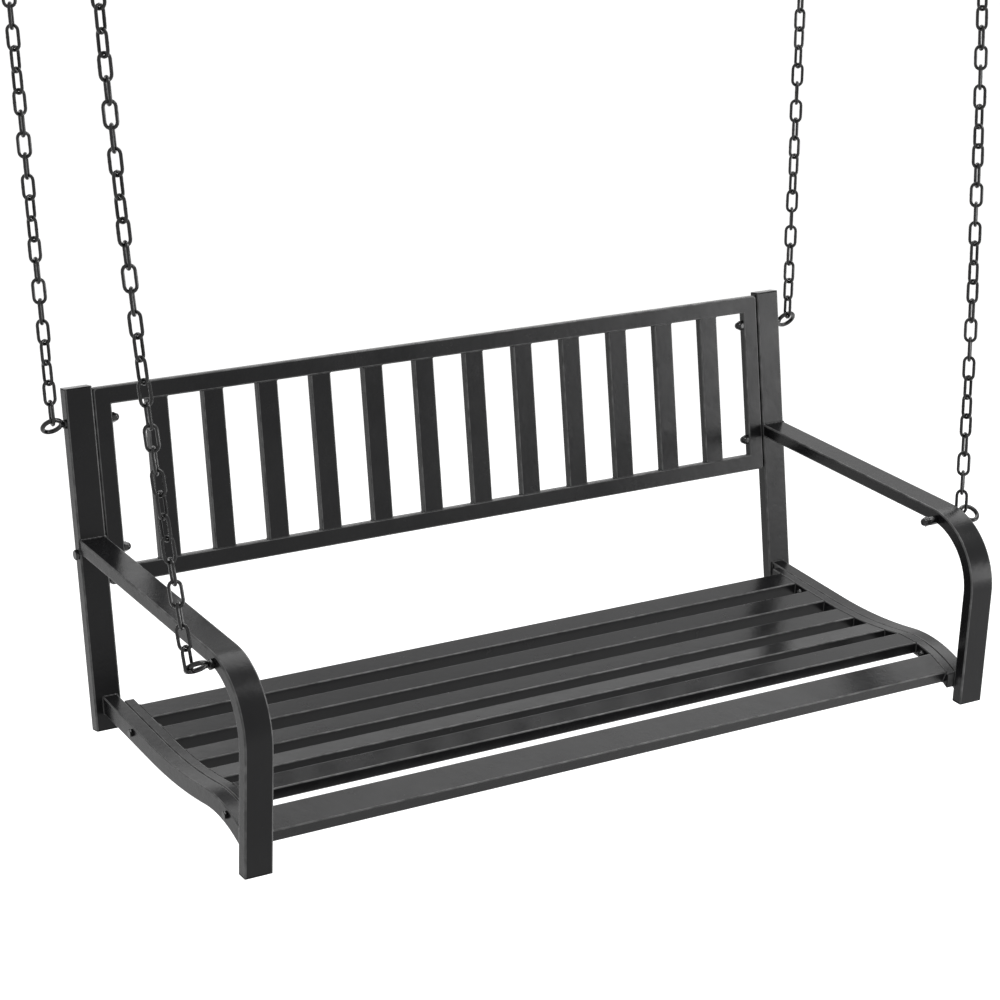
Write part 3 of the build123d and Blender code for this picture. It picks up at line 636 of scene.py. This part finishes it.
def eyeBolt(name):
    eye = eyes[name]
    hand, rear = eye["hand"], name.startswith("rear")
    centre = eyeCentre(name)
    _, wireWay, reach = grip(name)
    # the shank ends inside its nut; the front left one has a washer and a low nut, no spacer
    face = stileIn if rear else postIn - (bolts["spacer"] if hand > 0 else -bolts["capNut"] / 2)
    intoCap = bolts["intoCap"] * bolts["capNut"]
    tip = centre - hand * right * (abs(centre[0]) - face + intoCap)
    length = abs(centre[0]) - ringRadius - face + intoCap
    heights = np.concatenate([shankRows["tip"], length - np.array(shankRows["ring"])])
    shells = [ring(centre, wireWay, reach),
              turned(tip, hand * right, heights, bolts["shank"] + np.array(shankRows["gain"]))]
    if rear:
        start = centre - hand * right * (abs(centre[0]) - post["half"])
        shells.append(turned(start, hand * right, np.array(collarRows["heights"]) * bolts["collarThick"],
                             np.array(collarRows["radii"]) * bolts["collarRadius"]))
    return shells


for end in ("rear", "front"):
    finished(f"{end}EyeBolts", eyeBolt(f"{end}_left") + eyeBolt(f"{end}_right"), "fasteners", "bench",
             [f"{end}_eye_bolts"])

capNuts, backBolts, armNuts, armSpacers, seatBolts = [], [], [], [], []
for hand in (-1, 1):
    inward, outward = -hand * right, hand * right
    for height in (bolts["rearUp"], bolts["lowerUp"]):
        capNuts.append(hexPiece(leaning(hand * stileIn, bolts["backIn"], height), inward, bolts["across"],
                                bolts["capNut"] / 2, bolts["capNut"]))
    # the front right eye bolt reaches through a spacer; the front left one ends in a low nut on
    # a thin washer
    eyeBack, eyeUp = bolts["frontEye"]
    reach = bolts["spacer"] if hand > 0 else bolts["lowWasher"]
    low = 1.0 if hand > 0 else bolts["lowNut"] / bolts["capNut"]
    capNuts.append(hexPiece(bench(hand * (postIn - reach), eyeBack, eyeUp), inward, bolts["across"],
                            bolts["capNut"] / 2 * low, bolts["capNut"] * low))
    armSpacers.append(plainRod(bench(hand * (postIn - reach), eyeBack, eyeUp), outward,
                               bolts["collarRadius"], reach, bolts["spacerEdge"]))
    armNuts.append(hexPiece(bench(hand * post["half"], eyeBack, eyeUp), outward, bolts["across"],
                            bolts["nutThick"]))
    backBolts.append(hexPiece(leaning(hand * post["half"], bolts["backIn"], bolts["lowerUp"]), outward,
                              bolts["across"], bolts["headThick"]))
    backBolts.append(plainRod(leaning(hand * stileIn, bolts["backIn"], bolts["lowerUp"]), outward,
                              bolts["shank"], post["half"] - stileIn))
    for back in seat["boltsBack"]:
        up, tilt = contourAt(back)
        up -= seat["boltDrop"] / math.cos(tilt)
        railOut = railX + seat["railWide"] / 2
        outerFace, innerFace = bench(hand * railOut, back, up), bench(hand * seatIn, back, up)
        seatBolts.append(hexPiece(outerFace, outward, bolts["seatAcross"], bolts["seatHead"]))
        seatBolts.append(plainRod(innerFace, outward, bolts["seatRadius"], railOut - seatIn))
        seatBolts.append(hexPiece(innerFace, inward, bolts["seatAcross"], bolts["seatNut"] / 2,
                                  bolts["seatNut"]))
finished("capNuts", capNuts, "fasteners", "bench", ["cap_nuts"])
finished("backrestBolts", backBolts, "fasteners", "bench", ["backrest_bolts"])
finished("armNuts", armNuts, "fasteners", "bench", ["arm_nuts"])
finished("armSpacers", armSpacers, "fasteners", "bench", ["arm_spacers"])
finished("seatBolts", seatBolts, "fasteners", "bench", ["seat_bolts"])
print("bolts and eyes built")


# Chains and ceiling eyes.

chain = {"inner": 0.0285, "wide": 0.020, "wire": 0.00475, "seat": 0.00032, "turn": 102.9, "sag": 0.155,
         "frontStud": (0.6803, -0.3792), "rearStud": (0.6474, 0.0), "bowSteps": 8, "sides": 10,
         "seam": 0.10, "slim": 0.97}
# Neck: rows above the middle of the wire at the ring's top, rows from the ceiling and radii, in
# metres. Flange: rows and radii as shares of its thickness and radius. The stud's point narrows
# to a share of its radius.
ceiling = {"neckLow": (-0.001, 0.0015, 0.003), "neckHigh": (-0.004, -0.0026),
           "neckRadii": (0.0036, 0.0047, 0.0045, 0.0045, 0.0058),
           "flange": 0.013, "flangeThick": 0.003, "flangeRows": (0.0, 0.0, 0.2, 0.6, 1.0, 1.0),
           "flangeRadii": (0.4, 0.94, 0.985, 1.0, 1.0, 0.4),
           "stud": 0.004, "above": 0.06, "point": 0.0015, "pointShare": 0.86,
           "thread": 0.00125, "threadDeep": 0.00045, "threadRows": 4, "threadColumns": 14}


def chainLinks(name):
    # link centres on foot + (head - foot) t + bow 4 t (1 - t); every link is turned about the
    # chain's line by the same angle from the last
    eye = eyes[name]
    foot, wireWay, _ = grip(name)
    rear = name.startswith("rear")
    x, y = chain["rearStud" if rear else "frontStud"]
    stud = np.array([x * eye["hand"], y, 0.0])
    way = (stud - foot) / np.linalg.norm(stud - foot)
    drop = bolts["wire"] / 2 / np.linalg.norm(np.cross(wireWay, way))
    links = eye["links"]
    span = links * chain["inner"] - drop - bolts["wire"] / 2 - (links + 1) * chain["seat"]
    head = np.array([stud[0], stud[1], foot[2] + math.sqrt(span ** 2 - np.sum((stud - foot)[:2] ** 2))])
    bow = np.array([*(head - foot)[:2], 0.0]) * (0.0 if rear else chain["sag"])
    length = np.linalg.norm(head - foot)
    number = np.arange(links)
    t = (number * (chain["inner"] - chain["seat"]) - drop + chain["inner"] / 2 - chain["seat"]) / length
    centres = foot + (head - foot) * t[:, None] + bow * (4 * t * (1 - t))[:, None]
    axes = (head - foot) + bow * (4 * (1 - 2 * t))[:, None]
    axes /= np.linalg.norm(axes, axis=1)[:, None]
    flat = wireWay - axes * (axes @ wireWay)[:, None]
    flat /= np.linalg.norm(flat, axis=1)[:, None]
    turns = np.radians(number * chain["turn"])[:, None]
    normals = flat * np.cos(turns) + np.cross(axes, flat) * np.sin(turns)
    return centres, axes, normals, head


def ceilingEye(head, across):
    # ring, neck, flange and stud; thread radius = r - deep |2 p - 1|, p being the fraction of
    # height / pitch - a / 2 pi past a whole number
    centre = head + plumb * ringRadius
    across = np.array([across[0], across[1], 0.0]) / np.linalg.norm(across[:2])
    base = np.array([centre[0], centre[1], 0.0])
    rows = np.concatenate([centre[2] + ringRadius + np.array(ceiling["neckLow"]), ceiling["neckHigh"]])
    neck = turned(base, plumb, rows, np.array(ceiling["neckRadii"]))
    rows = -ceiling["flangeThick"] + np.array(ceiling["flangeRows"]) * ceiling["flangeThick"]
    flange = turned(base, plumb, rows, np.array(ceiling["flangeRadii"]) * ceiling["flange"])
    columns = ceiling["threadColumns"]
    count = int(ceiling["above"] / ceiling["thread"] * ceiling["threadRows"]) + 1
    heights = np.linspace(0.0, ceiling["above"], count)
    phase = (heights[:, None] / ceiling["thread"] - np.arange(columns)[None, :] / columns) % 1.0
    fade = np.clip((ceiling["above"] - heights) / ceiling["point"], 0.0, 1.0)[:, None]
    slim = ceiling["pointShare"] + (1 - ceiling["pointShare"]) * fade
    radii = (ceiling["stud"] - ceiling["threadDeep"] * np.abs(2 * phase - 1)) * slim
    return [ring(centre, across, plumb), neck, flange, turned(base, plumb, heights, radii)]


linkRadius = (chain["wide"] - chain["wire"]) / 2
linkStraight = (chain["inner"] + chain["wire"]) / 2 - linkRadius
linkWire = chain["slim"] * chain["wire"] / 2
for name in eyes:
    centres, axes, normals, head = chainLinks(name)
    shells = [wireLoop(centre, np.cross(axis, normal), axis, linkRadius, linkStraight, linkWire,
                       chain["bowSteps"], chain["sides"], chain["seam"])
              for centre, axis, normal in zip(centres, axes, normals)]
    label = "".join(word.capitalize() for word in name.split("_"))
    finished(f"chain{label}", shells, "chain", f"{name}_chain", [f"{name}_chain"])
    finished(f"ceilingEye{label}", ceilingEye(head, normals[-1]), "fasteners", "ceiling",
             [f"{name}_ceiling_eye"])
print("chains and ceiling eyes built")


# Stage, light and camera.

studio = {"floorDrop": -1.66, "floorHalf": 60.0, "floorTone": (0.84, 0.84, 0.84), "floorRough": 0.9,
          "floorLift": 0.5, "sky": 0.6, "seen": 1.0, "white": (1.0, 1.0, 1.0, 1.0),
          "lamps": {"rightFront": ((3.9, -3.6, -1.0), 2.2, 85.0), "high": ((1.75, -1.95, 1.8), 1.2, 44.0),
                    "top": ((2.0, 0.8, 2.3), 3.0, 84.0), "rear": ((0.6, 4.2, 1.6), 2.4, 9.0)},
          "aim": (0.0, -0.2, -0.9)}
camera = {"place": (-1.91937, -3.364219, 0.072076), "turn": (76.55468, 2.12454, -31.06227),
          "lens": 96.163, "sensor": 36.0}


def whiteForView(tree, output, shader, white):
    # the camera, a gloss or glass sees the white shader; every other ray gets the first shader
    path = tree.nodes.new("ShaderNodeLightPath")
    either = path.outputs["Is Camera Ray"]
    for kind in ("Is Glossy Ray", "Is Transmission Ray"):
        most = tree.nodes.new("ShaderNodeMath")
        most.operation = "MAXIMUM"
        tree.links.new(either, most.inputs[0])
        tree.links.new(path.outputs[kind], most.inputs[1])
        either = most.outputs[0]
    mix = tree.nodes.new("ShaderNodeMixShader")
    tree.links.new(either, mix.inputs["Fac"])
    tree.links.new(shader, mix.inputs[1])
    tree.links.new(white, mix.inputs[2])
    tree.links.new(mix.outputs[0], output.inputs["Surface"])


floorMesh = bpy.data.meshes.new("floor")
half, drop = studio["floorHalf"], studio["floorDrop"]
floorMesh.from_pydata([(-half, -half, drop), (half, -half, drop), (half, half, drop), (-half, half, drop)],
                      [], [(0, 1, 2, 3)])
floor = bpy.data.objects.new("floor", floorMesh)
scene.collection.objects.link(floor)
floorPaint = bpy.data.materials.new("floorPaint")
floorPaint.use_nodes = True
tree = floorPaint.node_tree
plain = tree.nodes["Principled BSDF"]
plain.inputs["Base Color"].default_value = (*studio["floorTone"], 1.0)
plain.inputs["Roughness"].default_value = studio["floorRough"]
lifted = tree.nodes.new("ShaderNodeAddShader")
glow = tree.nodes.new("ShaderNodeEmission")
glow.inputs["Strength"].default_value = studio["floorLift"]
tree.links.new(plain.outputs[0], lifted.inputs[0])
tree.links.new(glow.outputs[0], lifted.inputs[1])
whiteForView(tree, tree.nodes["Material Output"], plain.outputs[0], lifted.outputs[0])
floorMesh.materials.append(floorPaint)
floor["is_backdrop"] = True

world = bpy.data.worlds.new("studioSky")
world.use_nodes = True
scene.world = world
tree = world.node_tree
sky = tree.nodes["Background"]
sky.inputs["Color"].default_value = studio["white"]
sky.inputs["Strength"].default_value = studio["sky"]
seen = tree.nodes.new("ShaderNodeBackground")
seen.inputs["Color"].default_value = studio["white"]
seen.inputs["Strength"].default_value = studio["seen"]
whiteForView(tree, tree.nodes["World Output"], sky.outputs[0], seen.outputs[0])

for name, (place, size, power) in studio["lamps"].items():
    lamp = bpy.data.lights.new(name, "AREA")
    lamp.shape = "DISK"
    lamp.size = size
    lamp.energy = power
    holder = bpy.data.objects.new(name, lamp)
    scene.collection.objects.link(holder)
    aim = np.array(studio["aim"]) - np.array(place)
    holder.location = place
    holder.rotation_euler = (math.atan2(math.hypot(aim[0], aim[1]), -aim[2]), 0.0,
                             math.atan2(aim[1], aim[0]) - math.pi / 2)

view = bpy.data.cameras.new("camera")
view.lens = camera["lens"]
view.sensor_width = camera["sensor"]
view.sensor_fit = "AUTO"
eyepiece = bpy.data.objects.new("camera", view)
scene.collection.objects.link(eyepiece)
eyepiece.location = camera["place"]
eyepiece.rotation_euler = [math.radians(angle) for angle in camera["turn"]]
scene.camera = eyepiece
scene.view_settings.view_transform = "Standard"
print("stage set")

low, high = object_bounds()
